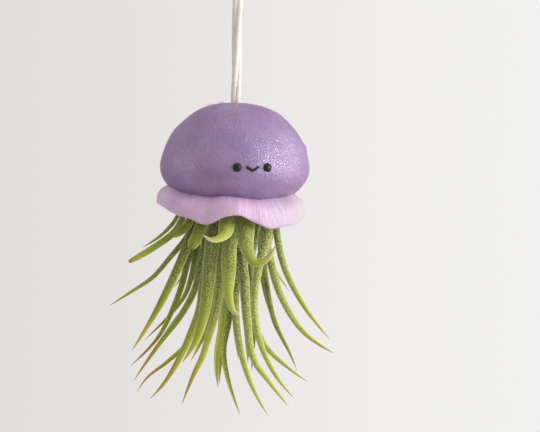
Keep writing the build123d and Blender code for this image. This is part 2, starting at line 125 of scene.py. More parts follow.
class Finish:
    """A material in the making, new where only its name is given."""

    def __init__(self, holder):
        if isinstance(holder, str):
            holder = bpy.data.materials.new(holder)
        holder.use_nodes = True
        self.holder = holder
        self.tree = holder.node_tree
        self.tree.nodes.clear()

    def add(self, kind, settings, inputs, output=None):
        """Adds one node: its settings first, then what goes into its sockets. Gives its first live output."""
        node = self.tree.nodes.new("ShaderNode" + kind)
        for name, value in settings.items():
            setattr(node, name, value)
        for name, value in inputs.items():
            if isinstance(name, int):
                socket = node.inputs[name]
            else:
                socket = next(s for s in node.inputs if s.enabled and s.name == name)
            if isinstance(value, Wire):
                self.tree.links.new(value.socket, socket)
            else:
                socket.default_value = value
        live = [s for s in node.outputs if s.enabled and output in (None, s.name)]
        return Wire(self, live[0]) if live else None

    def mix(self, share, first, second):
        """A colour between two colours."""
        return self.add("Mix", {"data_type": "RGBA"}, {"Factor": share, "A": first, "B": second})

    def place(self):
        """Where a point is on the piece, in metres."""
        return self.add("TexCoord", {}, {}, "Object")

    def carried(self, title):
        """A value that each point of the piece carries."""
        return self.add("Attribute", {"attribute_name": title}, {}, "Fac")

    def vectors(self, operation, *inputs):
        """A sum on places or directions."""
        return self.add("VectorMath", {"operation": operation}, dict(enumerate(inputs)))

    def mottle(self, place, scale, detail=2.0, roughness=0.5):
        """Soft random patches, from 0 to 1."""
        grain = {"Vector": place, "Scale": scale, "Detail": detail, "Roughness": roughness}
        return self.add("TexNoise", {}, grain, "Fac")

    def relief(self, height, strength, distance):
        """A normal that follows a height."""
        return self.add("Bump", {}, {"Height": height, "Strength": strength, "Distance": distance})

    def surface(self, **sockets):
        """The finished surface; an underscore in a name stands for a space."""
        named = {name.replace("_", " "): value for name, value in sockets.items()}
        shader = self.add("BsdfPrincipled", {}, named)
        self.add("OutputMaterial", {}, {"Surface": shader})
        return self.holder


world = bpy.data.worlds.new("room")
bpy.context.scene.world = world
room = Finish(world)
direction = room.add("TexCoord", {}, {}, "Generated")
sideways = room.vectors("DOT_PRODUCT", direction, view_right)
# The backdrop the camera sees is painted darker towards the left: painted shade away from the window.
wall = room.mix(sideways.between(-0.25, 0.2), srgb(224, 221, 218), srgb(242, 241, 240))
seen = room.add("Background", {}, {"Color": wall})
upward = room.add("SeparateXYZ", {}, {"Vector": direction}, "Z")
daylight = room.mix(upward.between(-0.7, 0.2), srgb(140, 138, 136), srgb(168, 167, 168))
daylight = room.mix(sideways.between(0.45, 1.0), daylight, srgb(255, 252, 252))
given = room.add("Background", {}, {"Color": daylight, "Strength": 1.2})
to_camera = room.add("LightPath", {}, {}, "Is Camera Ray")
shown = room.add("MixShader", {}, {"Fac": to_camera, 1: given, 2: seen})
room.add("OutputWorld", {}, {"Surface": shown})
LAMP_AIM = Vector((0, 0, -0.11))


def lamp(name, turn, climb, distance, size, power):
    """A soft square lamp, at a turn from the camera to its right and a climb, aimed at the bell."""
    light = set_down(name, bpy.data.lights.new(name, "AREA"))
    light.data.size = size
    light.data.energy = power
    way = placed(VIEW_TURN + turn, cos(radians(climb)), sin(radians(climb)))
    light.location = LAMP_AIM + way * distance
    light.rotation_mode = "QUATERNION"
    light.rotation_quaternion = way.to_track_quat("Z", "Y")


lamp("window", 63, 17, 0.8, 0.34, 3.6)
lamp("pane", 88, 4, 0.9, 1.0, 3.9)
lamp("ceiling", 30, 85, 1.0, 1.2, 3.0)
lamp("wall", -80, 10, 0.9, 1.1, 2.6)


def mesh_piece(name, points, faces, attributes=()):
    """A smooth-shaded mesh; attributes are (name, one value for each point)."""
    mesh = bpy.data.meshes.new(name)
    mesh.from_pydata([tuple(point) for point in points], [], faces)
    mesh.shade_smooth()
    for title, values in attributes:
        mesh.attributes.new(title, "FLOAT", "POINT").data.foreach_set("value", values)
    return set_down(name, mesh)


FLOOR_HEIGHT = -0.30
FLOOR_REACH = 0.42
FLOOR_FADE = (0.12, 0.40)       # from its middle to where it starts to fade, and to where it is gone
FLOOR_CORNERS = 64
rim = [placed(360 * i / FLOOR_CORNERS, FLOOR_REACH, FLOOR_HEIGHT) for i in range(FLOOR_CORNERS)]
floor = mesh_piece("floor", rim, [tuple(range(FLOOR_CORNERS))])
paint = Finish("floor")
out = paint.vectors("LENGTH", paint.vectors("MULTIPLY", paint.place(), (1, 1, 0)))
beneath = paint.add("NewGeometry", {}, {}, "Backfacing")
floor.data.materials.append(paint.surface(
    Base_Color=srgb(236, 234, 232), Roughness=0.9, Alpha=(1 - out.between(*FLOOR_FADE)) * (1 - beneath)))


# The cord. One length of off-white cotton, three strands laid slowly together: a loop over the hook, a
# knot under it, the taut line down to the crown, and a stop knot inside the bell that carries the bell.
CORD_WIDTH = 0.0035
LOOP_ROUTE = [
    (0.00175, 0, -0.0306), (0.0086, 0, -0.0051), (0.0046, 0, 0.00175),
    (-0.0046, 0, 0.00175), (-0.0086, 0, -0.0051), (-0.00175, 0, -0.0306),
]
LINE_ROUTE = [(0, 0, -0.039), (0, 0, -0.060), (0, 0, -0.0813)]
COTTON_LAY = 0.095              # length of one turn of the three strands
STRAND_OFFSET = 0.42            # from the cord's middle, as a share of its radius
STRAND_WIDTH = 0.60             # of a strand's radius, as a share of the cord's
STRAND_CORNERS = 28
YARNS = 9                       # ridges round one strand
YARN_LAY = 0.009                # length of one turn of the ridges
YARN_RELIEF = 0.03              # how high the ridges are, as a share of a strand's radius
STRAND_BREATH = 0.03            # and how much that radius wavers along the cord
CORD_STEP = 0.0004
FIBRE_SPACING = 0.0011          # of the loose fibres, along the cord
FIBRE_REACH = (0.0005, 0.0011)
FIBRE_THICKNESS = 0.000016
FIBRE_RINGS = 4
FRAY_LENGTH = 0.0035
FRAY_OPENING = 0.8              # how much further apart the strands stand at a cut end


def route_points(name, route, spacing):
    """Even points along the smooth line that a route's points pull on."""
    curve = bpy.data.curves.new(name, "CURVE")
    curve.dimensions = "3D"
    curve.resolution_u = 24
    spline = curve.splines.new("NURBS")
    spline.points.add(len(route) - 1)
    for point, place in zip(spline.points, route):
        point.co = (*place, 1)
    spline.order_u = 3
    spline.use_endpoint_u = True
    carrier = bpy.data.objects.new(name, curve)
    mesh = bpy.data.meshes.new_from_object(carrier)
    line = [vertex.co.copy() for vertex in mesh.vertices]
    bpy.data.meshes.remove(mesh)
    bpy.data.objects.remove(carrier)
    bpy.data.curves.remove(curve)
    return even(line, spacing)


def even(line, spacing):
    """The same line with points at even distances."""
    lengths = [0.0]
    for a, b in zip(line, line[1:]):
        lengths.append(lengths[-1] + (b - a).length)
    count = max(2, round(lengths[-1] / spacing))
    spread = []
    at = 0
    for index in range(count + 1):
        distance = lengths[-1] * index / count
        while at < len(line) - 2 and lengths[at + 1] < distance:
            at += 1
        share = (distance - lengths[at]) / (lengths[at + 1] - lengths[at])
        spread.append(line[at].lerp(line[at + 1], min(1.0, share)))
    return spread


def cross_directions(line, first):
    """Two directions square to the line at each of its points, carried along without twist."""
    pairs = []
    side = Vector(first)
    for index in range(len(line)):
        way = (line[min(index + 1, len(line) - 1)] - line[max(index - 1, 0)]).normalized()
        side = (side - way * side.dot(way)).normalized()
        pairs.append((side.copy(), way.cross(side)))
    return pairs


def tube_faces(rings, around, start, caps=True):
    """Faces between rings of points, with a flat cap at each end."""
    faces = []
    for ring in range(rings - 1):
        for step in range(around):
            a = start + ring * around + step
            b = start + ring * around + (step + 1) % around
            faces.append((a, b, b + around, a + around))
    if caps:
        faces.append(tuple(start + step for step in reversed(range(around))))
        faces.append(tuple(start + (rings - 1) * around + step for step in range(around)))
    return faces


def turned(side, up, angle):
    """The direction at an angle from side towards up."""
    return side * cos(angle) + up * sin(angle)


def cotton(name, line, first, seed, frayed=0.0):
    """Three laid strands of ridged cotton along a line, with loose fibres; a frayed end opens out."""
    rng = random.Random(seed)
    points = []
    faces = []
    pairs = cross_directions(line, first)
    step = (line[1] - line[0]).length
    total = step * (len(line) - 1)
    for strand in range(3):
        start = len(points)
        for index, (middle, (side, up)) in enumerate(zip(line, pairs)):
            travelled = index * step
            turn = tau * (travelled / COTTON_LAY + strand / 3)
            opened = max(0.0, 1 - (total - travelled) / frayed) if frayed else 0.0
            apart = CORD_WIDTH / 2 * STRAND_OFFSET * (1 + FRAY_OPENING * opened ** 2)
            centre = middle + turned(side, up, turn) * apart
            breath = 1 + STRAND_BREATH * noise.noise(Vector((travelled * 400, strand * 7.0, seed)))
            for k in range(STRAND_CORNERS):
                angle = tau * k / STRAND_CORNERS
                ridge = 1 + YARN_RELIEF * cos(YARNS * angle + tau * travelled / YARN_LAY)
                radius = CORD_WIDTH / 2 * STRAND_WIDTH * ridge * breath
                points.append(centre + turned(side, up, angle) * radius)
        faces += tube_faces(len(line), STRAND_CORNERS, start)
    for _ in range(round(total / FIBRE_SPACING)):
        index = rng.randrange(2, len(line) - 2)
        side, up = pairs[index]
        out = turned(side, up, rng.uniform(0, tau))
        way = (line[index + 1] - line[index - 1]).normalized()
        lean = way * rng.uniform(-0.7, 0.7) + out * 0.5 + side * rng.uniform(-0.4, 0.4)
        root = line[index] + out * CORD_WIDTH * 0.40
        reach = rng.uniform(*FIBRE_REACH)
        start = len(points)
        for k in range(FIBRE_RINGS):
            share = k / (FIBRE_RINGS - 1)
            at = root + lean * reach * share + way * reach * 0.35 * share * share
            thin = 1 - 0.6 * share
            for corner in range(3):
                points.append(at + turned(side, up, tau * corner / 3) * FIBRE_THICKNESS * thin)
        faces += tube_faces(FIBRE_RINGS, 3, start)
    return mesh_piece(name, points, faces)


weave = Finish("cotton")
spot = weave.place()
fuzz = weave.mottle(spot, 5200, 3.0, 0.65)
drift = weave.mottle(spot, 260)
worn = (fuzz * 0.5 + drift * 0.6).between(0.35, 0.8)
cotton_colour = weave.mix(worn, srgb(216, 208, 196), srgb(234, 229, 221))
cotton_finish = weave.surface(
    Base_Color=cotton_colour, Roughness=0.88, Sheen_Weight=0.1,
    Normal=weave.relief(fuzz, 0.6, 0.00008))

loop_line = route_points("loop_route", LOOP_ROUTE, CORD_STEP)
line_line = route_points("line_route", LINE_ROUTE, CORD_STEP)
cord_loop = cotton("cotton_loop", loop_line, (0, 1, 0), 3)
cord_line = cotton("cotton_line", line_line, (0, 1, 0), 5)


# The knots. The same cord wound tight round itself, once to close the loop and once inside the bell. Each cut
# end is left a little proud and frays, and a straight bit of cord fills each knot's middle.
KNOT_WIDTH = 0.011
WRAP_STEPS = 48
TAIL_STEPS = 16
TAIL_LENGTH = 0.0088
TAIL_BEND = (0.004, 0.005)      # how far the cord runs on straight from the wraps, and before its end
# Each knot: its top, its height, its wraps, and the turn and the fall of its tail in degrees.
KNOTS = {
    "loop_knot": (-0.03, 0.009, 3, 60, 5),
    "stop_knot": (-0.0813, 0.0075, 2, 100, 22),
}


def knot_line(top, height, wraps, tail_turn, tail_fall):
    """The middle of a knot's cord: up from inside, round its wraps and out along its tail."""
    half = CORD_WIDTH / 2
    wide = KNOT_WIDTH / 2 - half
    high = top - half * 1.05
    low = top - height + half * 1.05
    turns = wraps - 0.25
    line = []
    for step in range(round(turns * WRAP_STEPS) + 1):
        share = step / (turns * WRAP_STEPS)
        turn = tail_turn - 35 - 360 * turns * (1 - share)
        grow = min(1.0, 0.25 + share * 2.2)
        unevenness = 1 + 0.025 * sin(3.1 * radians(turn) + wraps)
        level = low + (high - low) * (0.5 - 0.5 * cos(pi * min(1.0, share * 1.02)))
        line.append(placed(turn, wide * grow * unevenness, level))
    way = placed(tail_turn, cos(radians(tail_fall)), -sin(radians(tail_fall)))
    leave = line[-1]
    end = placed(tail_turn, wide / 2, top - height / 2) + way * (wide / 2 + half + TAIL_LENGTH)
    a = leave + (line[-1] - line[-2]).normalized() * TAIL_BEND[0]
    b = end - way * TAIL_BEND[1]
    for step in range(1, TAIL_STEPS + 1):
        t = step / TAIL_STEPS
        line.append(leave * (1 - t) ** 3 + a * 3 * t * (1 - t) ** 2 + b * 3 * t * t * (1 - t) + end * t ** 3)
    return even(line, CORD_STEP)


knots = {}
for name, facts in KNOTS.items():
    top, height, wraps = facts[:3]
    core = even([Vector((0, 0, top - height * 0.08)), Vector((0, 0, top - height * 0.92))], CORD_STEP)
    knot = cotton("cotton_" + name, knot_line(*facts), (0, 0, 1), len(name) + wraps, FRAY_LENGTH)
    heart = cotton("cotton_heart_" + name, core, (0, 1, 0), 11 + wraps)
    heart.data.materials.append(cotton_finish)
    heart.parent = knot
    knots[name] = knot

for node, piece in {"cord_loop": cord_loop, "cord_line": cord_line, **knots}.items():
    piece.data.materials.append(cotton_finish)
    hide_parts(node)
    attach(piece, "cord")


# The bell. A hollow dome of purple clay, rolled out, formed over a ball and smoothed by hand before it was
# baked: soft dents, a few fine creases on the right cheek, and a skin that glitters where the light grazes.
BELL_RADIUS = 0.0261
BELL_HEIGHT = 0.0319
BELL_WALL = 0.004
BELL_OUTLINE = [
    (0.17, 0.008), (0.37, 0.04), (0.53, 0.09), (0.7, 0.195), (0.8, 0.29), (0.88, 0.4),
    (0.95, 0.53), (0.99, 0.64), (1.0, 0.7), (0.985, 0.785), (0.935, 0.868), (0.86, 0.94),
]
# The hollow: radius and depth below the crown.
BELL_HOLLOW = [(0.0075, BELL_WALL), (0.0124, 0.0073), (0.0177, 0.0134), (0.0212, 0.0198), (0.0220, 0.0232),
               (0.0208, 0.0262)]
UNDERSIDE = CROWN - BELL_HEIGHT
UNDERSIDE_RADIUS = 0.0202
MOUTH_RADIUS = 0.0167
LIP_HEIGHT = 0.0024
CORD_HOLE = 0.00205
# Presses of a hand: turn and width in degrees, depth below the crown, height, and how far out or in.
PRESSES = [
    (64, 22, 0.014, 0.0045, 0.0006), (-105, 48, 0.0052, 0.0042, -0.0008),
    (75, 12, 0.015, 0.0014, 0.00034), (72, 14, 0.0128, 0.0006, -0.00018),
]
# Fine creases: turn in degrees, depth below the crown and length in metres, and slope.
CREASES = [
    (45, 0.0125, 0.0056, 0.12), (43, 0.017, 0.0068, 0.02), (48, 0.0204, 0.0064, 0.05),
    (31, 0.0255, 0.0026, 0.5), (-9, 0.0168, 0.0026, 1.2), (24, 0.0128, 0.003, 0.6),
    (-38, 0.0215, 0.0034, 0.2), (118, 0.018, 0.005, 0.3), (165, 0.014, 0.004, -0.4),
    (215, 0.0205, 0.0055, 0.15), (-80, 0.017, 0.004, 0.5),
]
CREASE_DEPTH = 0.00017
CREASE_WIDTH = 0.00036
CREASE_REACH = 0.002            # across a crease, beyond which it is no longer felt
CREASE_RIDGE = (0.0010, 0.0005, 0.00006)    # under each crease: how far from it, how wide and how high
BROAD_DENTS = 0.00028
FINE_DENTS = 0.00006
THUMBED_FROM = 0.0225           # depth below the crown from which the edge dips where it is thumbed
SMOOTH_CROWN = 0.006            # from the hole to where the handwork is in full
BELL_TURNS = 360


def smooth_line(points, count, first=None, last=None):
    """A smooth line through points, with a number of steps between each pair."""
    points = [Vector(point) for point in points]
    gaps = [(b - a).length for a, b in zip(points, points[1:])]
    slopes = [None] * len(points)
    for i in range(1, len(points) - 1):
        before = (points[i] - points[i - 1]) / gaps[i - 1]
        after = (points[i + 1] - points[i]) / gaps[i]
        slopes[i] = (before * gaps[i] + after * gaps[i - 1]) / (gaps[i] + gaps[i - 1])
    slopes[0] = Vector(first) if first else ((points[1] - points[0]) / gaps[0] * 3 - slopes[1]) / 2
    slopes[-1] = Vector(last) if last else ((points[-1] - points[-2]) / gaps[-1] * 3 - slopes[-2]) / 2
    line = []
    for i, gap in enumerate(gaps):
        for k in range(count):
            t = k / count
            line.append(
                points[i] * (2 * t ** 3 - 3 * t * t + 1) + slopes[i] * gap * (t ** 3 - 2 * t * t + t)
                + points[i + 1] * (3 * t * t - 2 * t ** 3) + slopes[i + 1] * gap * (t ** 3 - t * t))
    return line + [points[-1]]


def turn_apart(turn, other):
    """Degrees from one turn to another, the short way round."""
    return (turn - other + 180) % 360 - 180


# How high the skirt is pressed up the bell's side at each turn, in metres over the bell's underside; where
# it is below zero, the bell's thumbed edge dips instead.
SEAM = {
    0: 0.0001, 12: -0.00035, 24: -0.0002, 37: 0.0001, 48: 0.0007, 60: 0.001, 76: 0.0005, 92: 0.0003,
    106: 0.0005, 120: 0.0003, 142: 0.0012, 165: 0.0006, 188: 0.0002, 210: 0.0009, 232: 0.0017, 252: 0.0026,
    266: 0.0031, 276: 0.003, 287: 0.0018, 298: 0.0012, 314: 0.0007, 325: 0.0005, 338: 0.001, 348: 0.0006,
}
HALF_DEGREES = 720


def round_table(table):
    """Rows of values at every half degree, smoothly through those of a table whose keys are turns."""
    turns = list(table)
    rows = [(turn - 360, table[turn]) for turn in turns[-3:]]
    rows += [(turn, table[turn]) for turn in turns] + [(turn + 360, table[turn]) for turn in turns[:3]]
    line = smooth_line([(turn / 10, *values) for turn, values in rows], 30)
    halves = []
    at = 0
    for step in range(HALF_DEGREES):
        turn = step / 20
        while line[at + 1].x <= turn:
            at += 1
        halves.append(line[at].lerp(line[at + 1], (turn - line[at].x) / (line[at + 1].x - line[at].x)))
    return halves


seam_table = [row.y / 100 for row in round_table({turn: (height * 100, 0) for turn, height in SEAM.items()})]


def seam(turn):
    """The height over the underside at which the skirt meets the bell at a turn."""
    step = turn * 2 % HALF_DEGREES
    low = int(step)
    return seam_table[low] + (seam_table[(low + 1) % HALF_DEGREES] - seam_table[low]) * (step - low)


outline = [(share * BELL_RADIUS, CROWN - drop * BELL_HEIGHT, 0) for share, drop in BELL_OUTLINE]
outline = [(0, CROWN, 0)] + outline + [(UNDERSIDE_RADIUS, UNDERSIDE, 0)]
outside = smooth_line(outline, 8, (1, 0, 0), (-0.7, -0.7, 0))
outside = [point for point in outside if point.x > CORD_HOLE + 0.0005]
hollow = [(radius, CROWN - drop, 0) for radius, drop in BELL_HOLLOW]
hollow.append((MOUTH_RADIUS, UNDERSIDE + LIP_HEIGHT, 0))
inside = smooth_line(hollow, 8, (1, 0, 0), (-0.7, -0.7, 0))[::-1]
hole_rim = [Vector((CORD_HOLE + 0.0001, CROWN - 0.0004, 0)), Vector((CORD_HOLE + 0.0004, CROWN - 0.0001, 0))]
flat = [Vector((UNDERSIDE_RADIUS - share * (UNDERSIDE_RADIUS - MOUTH_RADIUS - 0.0004), UNDERSIDE, 0))
        for share in (0.2, 0.5, 0.8, 1.0)]
lip = [Vector((MOUTH_RADIUS + 0.0001, UNDERSIDE + 0.0001, 0)), Vector((MOUTH_RADIUS, UNDERSIDE + 0.0005, 0)),
       Vector((MOUTH_RADIUS, UNDERSIDE + 0.0015, 0))]
hole = [Vector((0.005, CROWN - BELL_WALL, 0)), Vector((CORD_HOLE + 0.0003, CROWN - BELL_WALL, 0)),
        Vector((CORD_HOLE, CROWN - BELL_WALL + 0.0003, 0)), Vector((CORD_HOLE, CROWN - 0.002, 0))]
shaped_by_hand = hole_rim + outside + flat
profile = shaped_by_hand + lip + inside + hole


def handwork(turn, point):
    """How far a hand pushed the clay of the outside in or out there, and down."""
    drop = CROWN - point.y
    near = placed(turn, point.x, point.y)
    push = BROAD_DENTS * noise.noise(near * 75 + Vector((3.3, 0.4, 7.1)))
    push += FINE_DENTS * noise.noise(near * 260)
    for middle, wide, low, tall, far in PRESSES:
        push += far * exp(-(turn_apart(turn, middle) / wide) ** 2 - ((drop - low) / tall) ** 2)
    for middle, low, length, lean in CREASES:
        along = radians(turn_apart(turn, middle)) * point.x
        across = (drop - low) - lean * along
        if abs(along) < length and abs(across) < CREASE_REACH:
            end = max(0.0, 1 - (along / (length / 2)) ** 2)
            push -= CREASE_DEPTH * end * exp(-(across / CREASE_WIDTH) ** 2)
            off, wide, high = CREASE_RIDGE
            push += high * end * exp(-((across - off) / wide) ** 2)
    low_share = min(1.0, max(0.0, (drop - THUMBED_FROM) / (BELL_HEIGHT - THUMBED_FROM)))
    fade = min(1.0, max(0.0, (point.x - CORD_HOLE) / SMOOTH_CROWN))
    return push * fade, max(0.0, -seam(turn)) * low_share ** 2


def turned_faces(turns, around):
    """Faces of a body whose closed outline is repeated at each of its turns."""
    open_faces = tube_faces(turns + 1, around, 0, caps=False)
    return [tuple(index % (turns * around) for index in face) for face in open_faces]


bell_points = []
for step in range(BELL_TURNS):
    turn = 360 * step / BELL_TURNS
    for index, point in enumerate(profile):
        push, down = handwork(turn, point) if index < len(shaped_by_hand) else (0.0, 0.0)
        bell_points.append(placed(turn, point.x + push, point.y - down))
bell = mesh_piece("clay_bell", bell_points, turned_faces(BELL_TURNS, len(profile)))

clay = Finish("purple_clay")
spot = clay.place()
blotch = clay.mottle(spot, 90, 3.0, 0.55)
hue = clay.mottle(spot, 48, 1.0)
patch = clay.mottle(spot, 420, 3.0, 0.6)
skin = clay.mottle(spot, 2300, 1.0)
flakes = clay.mottle(spot, 2600, 0.0).between(0.585, 0.635)
purple = clay.mix(hue.between(0.35, 0.65), srgb(138, 105, 148), srgb(131, 106, 151))
purple = clay.mix(blotch.between(0.36, 0.7) * 0.6, purple, srgb(156, 132, 170))
purple = clay.mix(patch.between(0.5, 0.8) * 0.2, purple, srgb(168, 146, 182))
purple = clay.mix(flakes * 0.22, purple, srgb(212, 204, 226))
grain = clay.relief(skin * 0.9 + patch * 0.9, 0.8, 0.00024)
bell.data.materials.append(clay.surface(
    Base_Color=purple, Roughness=0.45 - flakes * 0.22, Metallic=flakes * 0.42, Specular_IOR_Level=0.7,
    Subsurface_Weight=0.05, Subsurface_Radius=(0.002, 0.0012, 0.0018), Subsurface_Scale=1.0, Normal=grain))
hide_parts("bell")
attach(bell, "bell")


# The skirt. A thin strip of paler lilac clay, frilled between finger and thumb so that its edge waves, and
# pressed up under the bell. Stretching has left fine lines that run out to the edge.
SKIRT_THICKNESS = 0.0012
SKIRT_REACH = 0.0274
SKIRT_DROP = 0.0105
SKIRT_INNER = 0.0176
SKIRT_SEAT_END = 0.0199
SKIRT_EDGE_SHARE = 0.72         # how thick it is at its edge, as a share of its thickness
SKIRT_BULGE = 0.19              # of its top, as a share of the straight way from seam to edge
SKIRT_SUNK = 0.0004             # how deep its seam lies in the bell's side
SKIRT_STEPS = 22                # between its seam and its edge
FLUTE_REACH = 0.00010           # how far the small unevenness of the frill moves its edge out,
FLUTE_DROP = 0.00012            # down,
FLUTE_DEPTH = 0.00040           # and its top
# Turn from the face: how far out and how far down its edge is, as shares of the reach and the drop.
SKIRT_EDGE = {
    1: (0.92, 0.66), 9: (0.915, 0.8), 17: (0.9, 0.92), 28: (0.91, 0.88), 41: (0.92, 0.83), 55: (0.91, 0.78),
    70: (0.9, 0.69), 92: (0.92, 0.54), 108: (0.98, 0.32), 124: (0.95, 0.55), 140: (0.91, 0.84),
    156: (0.93, 0.68), 172: (1.0, 0.36), 188: (0.94, 0.58), 204: (0.91, 0.88), 220: (0.93, 0.7),
    238: (0.95, 0.44), 260: (0.98, 0.31), 282: (0.955, 0.41), 296: (0.95, 0.54), 309: (0.93, 0.63),
    325: (0.92, 0.81), 342: (0.95, 0.5), 350: (0.955, 0.455),
}


def on_flank(height):
    """How far out the bell's plain outside is at a height over its underside."""
    for a, b in zip(outside[::-1], outside[-2::-1]):
        if height <= b.y - UNDERSIDE:
            return a.x + (b.x - a.x) * max(0.0, (height - a.y + UNDERSIDE) / (b.y - a.y))


def bent(start, middle, end, steps):
    """Points on the curve through three points."""
    shares = [k / steps for k in range(steps + 1)]
    return [start * (2 * (u - 0.5) * (u - 1)) + middle * (-4 * u * (u - 1)) + end * (2 * u * (u - 0.5))
            for u in shares]


skirt_points = []
for step, (_, reach_share, drop_share) in enumerate(round_table(SKIRT_EDGE)):
    turn = step / 2
    flute = noise.noise(toward(turn) * 5.2 + Vector((0, 0, 4.7))) + 0.5 * noise.noise(toward(turn) * 13)
    reach = reach_share * SKIRT_REACH + FLUTE_REACH * flute
    edge = Vector((reach, UNDERSIDE - drop_share * SKIRT_DROP - FLUTE_DROP * flute, 0))
    rise = seam(turn)
    start = Vector((on_flank(max(0.0, rise)) - SKIRT_SUNK, UNDERSIDE + rise, 0))
    run = edge - start
    out = Vector((-run.y, run.x, 0)).normalized()
    shoulder = (start + edge) / 2 + out * (run.length * SKIRT_BULGE)
    low = UNDERSIDE + min(0.0, rise)
    seat = [Vector((SKIRT_INNER, low, 0)), Vector((SKIRT_SEAT_END, low, 0))]
    top = bent(start, shoulder, edge, SKIRT_STEPS)
    for k, point in enumerate(top):
        share = k / SKIRT_STEPS
        point += out * (FLUTE_DEPTH * flute * sin(pi * min(1.0, share * 1.1)) ** 2)
    thick = SKIRT_THICKNESS * SKIRT_EDGE_SHARE
    fall = (top[-1] - top[-2]).normalized()
    under_edge = edge + Vector((fall.y, -fall.x, 0)) * thick
    under_start = Vector((SKIRT_SEAT_END - 0.0006, low - SKIRT_THICKNESS, 0))
    under = bent(under_edge, shoulder - out * SKIRT_THICKNESS, under_start, SKIRT_STEPS)
    rounded = [edge.lerp(under_edge, share) + fall * thick * 0.42 * sin(pi * share)
               for share in (0.12, 0.3, 0.5, 0.7, 0.88)]
    ring = seat + top + rounded + under + [Vector((SKIRT_INNER, low - SKIRT_THICKNESS, 0))]
    skirt_points += [placed(turn, point.x, point.y) for point in ring]
# Its outline runs the other way round from the bell's, and so do its faces.
skirt_faces = [(a, d, c, b) for a, b, c, d in turned_faces(HALF_DEGREES, len(ring))]
skirt = mesh_piece("clay_skirt", skirt_points, skirt_faces)

lilac = Finish("lilac_clay")
spot = lilac.place()
radial = lilac.vectors("NORMALIZE", lilac.vectors("MULTIPLY", spot, (1, 1, 0)))
shallow = lilac.vectors("MULTIPLY", spot, (3, 3, 14))
lines = lilac.mottle(lilac.vectors("ADD", radial, shallow), 42, 3.0, 0.6)
cloud = lilac.mottle(spot, 120)
skin = lilac.mottle(spot, 2600, 3.0, 0.6)
pink = lilac.mix(cloud.between(0.3, 0.7), srgb(205, 170, 202), srgb(215, 185, 211))
pink = lilac.mix(lines.between(0.5, 0.75) * 0.5, pink, srgb(178, 140, 178))
# Painted glare: the pink turns greyer and less pink towards the right, where the window's light washes its
# colour out.
painted_glare_side = lilac.add("SeparateXYZ", {}, {"Vector": spot}, "X")
pink = lilac.mix(painted_glare_side.between(-0.002, 0.022) * 0.65, pink, srgb(182, 176, 182))
skirt.data.materials.append(lilac.surface(
    Base_Color=pink, Roughness=0.42 + skin * 0.12, Sheen_Weight=0.15, Sheen_Roughness=0.4,
    Subsurface_Weight=0.18, Subsurface_Radius=(0.003, 0.0015, 0.0025), Subsurface_Scale=1.0,
    Normal=lilac.relief(skin * 0.3 + lines * 2.6, 0.7, 0.00022)))
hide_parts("skirt")
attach(skirt, "bell")


# The face. Two balls of black clay pressed flat on to the bell, and between them a rolled string bent into a
# smile, all satin.
FACE_DROP = 0.0212
EYE_ASIDE = 0.00515
EYE_TURN = degrees(asin(EYE_ASIDE / BELL_RADIUS))
EYE_WIDTH = 0.0030
EYE_HEIGHT = 0.00095
SMILE_WIDTH = 0.0042
SMILE_FALL = 0.00125
SMILE_RISE = 0.00035            # of its ends over the middle of the eyes
SMILE_LIFT = 0.00008            # of its middle line over the bell
SMILE_STEP = 0.00009
SMILE_RADII = (0.00047, 0.00048)
SMILE_ROUNDING = 0.00036
SMILE_CORNERS = 20
# A pressed ball from its top out and down: share of its radius, share of its height.
BALL_ROWS = [(0.2, 0.985), (0.4, 0.93), (0.6, 0.82), (0.76, 0.67), (0.88, 0.50), (0.96, 0.31), (1.0, 0.10),
             (0.985, -0.08), (0.93, -0.25), (0.8, -0.4)]
BALL_CORNERS = 48
BALL_WOBBLE = 0.018             # how uneven its rim is, as a share of its radius


def on_bell(turn, drop, proud):
    """A point on the bell's outside, pushed out or in, and the direction out of the clay there."""
    for a, b in zip(outside, outside[1:]):
        if CROWN - a.y <= drop < CROWN - b.y:
            share = (drop - CROWN + a.y) / (a.y - b.y)
            radius = a.x + (b.x - a.x) * share
            slope = (b - a).normalized()
            push, down = handwork(turn, Vector((radius, CROWN - drop, 0)))
            out = placed(turn, -slope.y, slope.x).normalized()
            return placed(turn, radius + push, CROWN - drop - down) + out * proud, out
    raise ValueError(drop)


def pressed_ball(name, turn, drop, width, height, seed):
    """A ball of clay flattened against the bell: a soft rim, a domed top and a hidden underside."""
    centre, out = on_bell(turn, drop, 0)
    side = toward(turn + 90)
    up = out.cross(side) * -1
    points = []
    for share, lift in BALL_ROWS:
        for k in range(BALL_CORNERS):
            angle = tau * k / BALL_CORNERS
            wobble = 1 + BALL_WOBBLE * noise.noise(Vector((cos(angle) * 1.3, sin(angle) * 1.3, seed)))
            across = width / 2 * share * wobble
            points.append(centre + turned(side, up, angle) * across + out * height * lift)
    tip = len(points)
    points.append(centre + out * height)
    faces = tube_faces(len(BALL_ROWS), BALL_CORNERS, 0, caps=False)
    faces += [(tip, (k + 1) % BALL_CORNERS, k) for k in range(BALL_CORNERS)]
    faces.append(tuple(range(tip - BALL_CORNERS, tip)))
    return mesh_piece(name, points, faces)


coal = Finish("black_clay")
spot = coal.place()
skin = coal.mottle(spot, 3200, 3.0, 0.6)
black = coal.mix(skin.between(0.3, 0.7), srgb(20, 16, 22), srgb(38, 31, 39))
black_finish = coal.surface(
    Base_Color=black, Roughness=0.36 + skin * 0.2, Specular_IOR_Level=0.35,
    Normal=coal.relief(skin, 0.4, 0.00006))
for name, turn in (("eye_left", -EYE_TURN), ("eye_right", EYE_TURN)):
    eye = pressed_ball("clay_" + name, turn, FACE_DROP, EYE_WIDTH, EYE_HEIGHT, turn)
    eye.data.materials.append(black_finish)
    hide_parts(name)
    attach(eye, "bell")

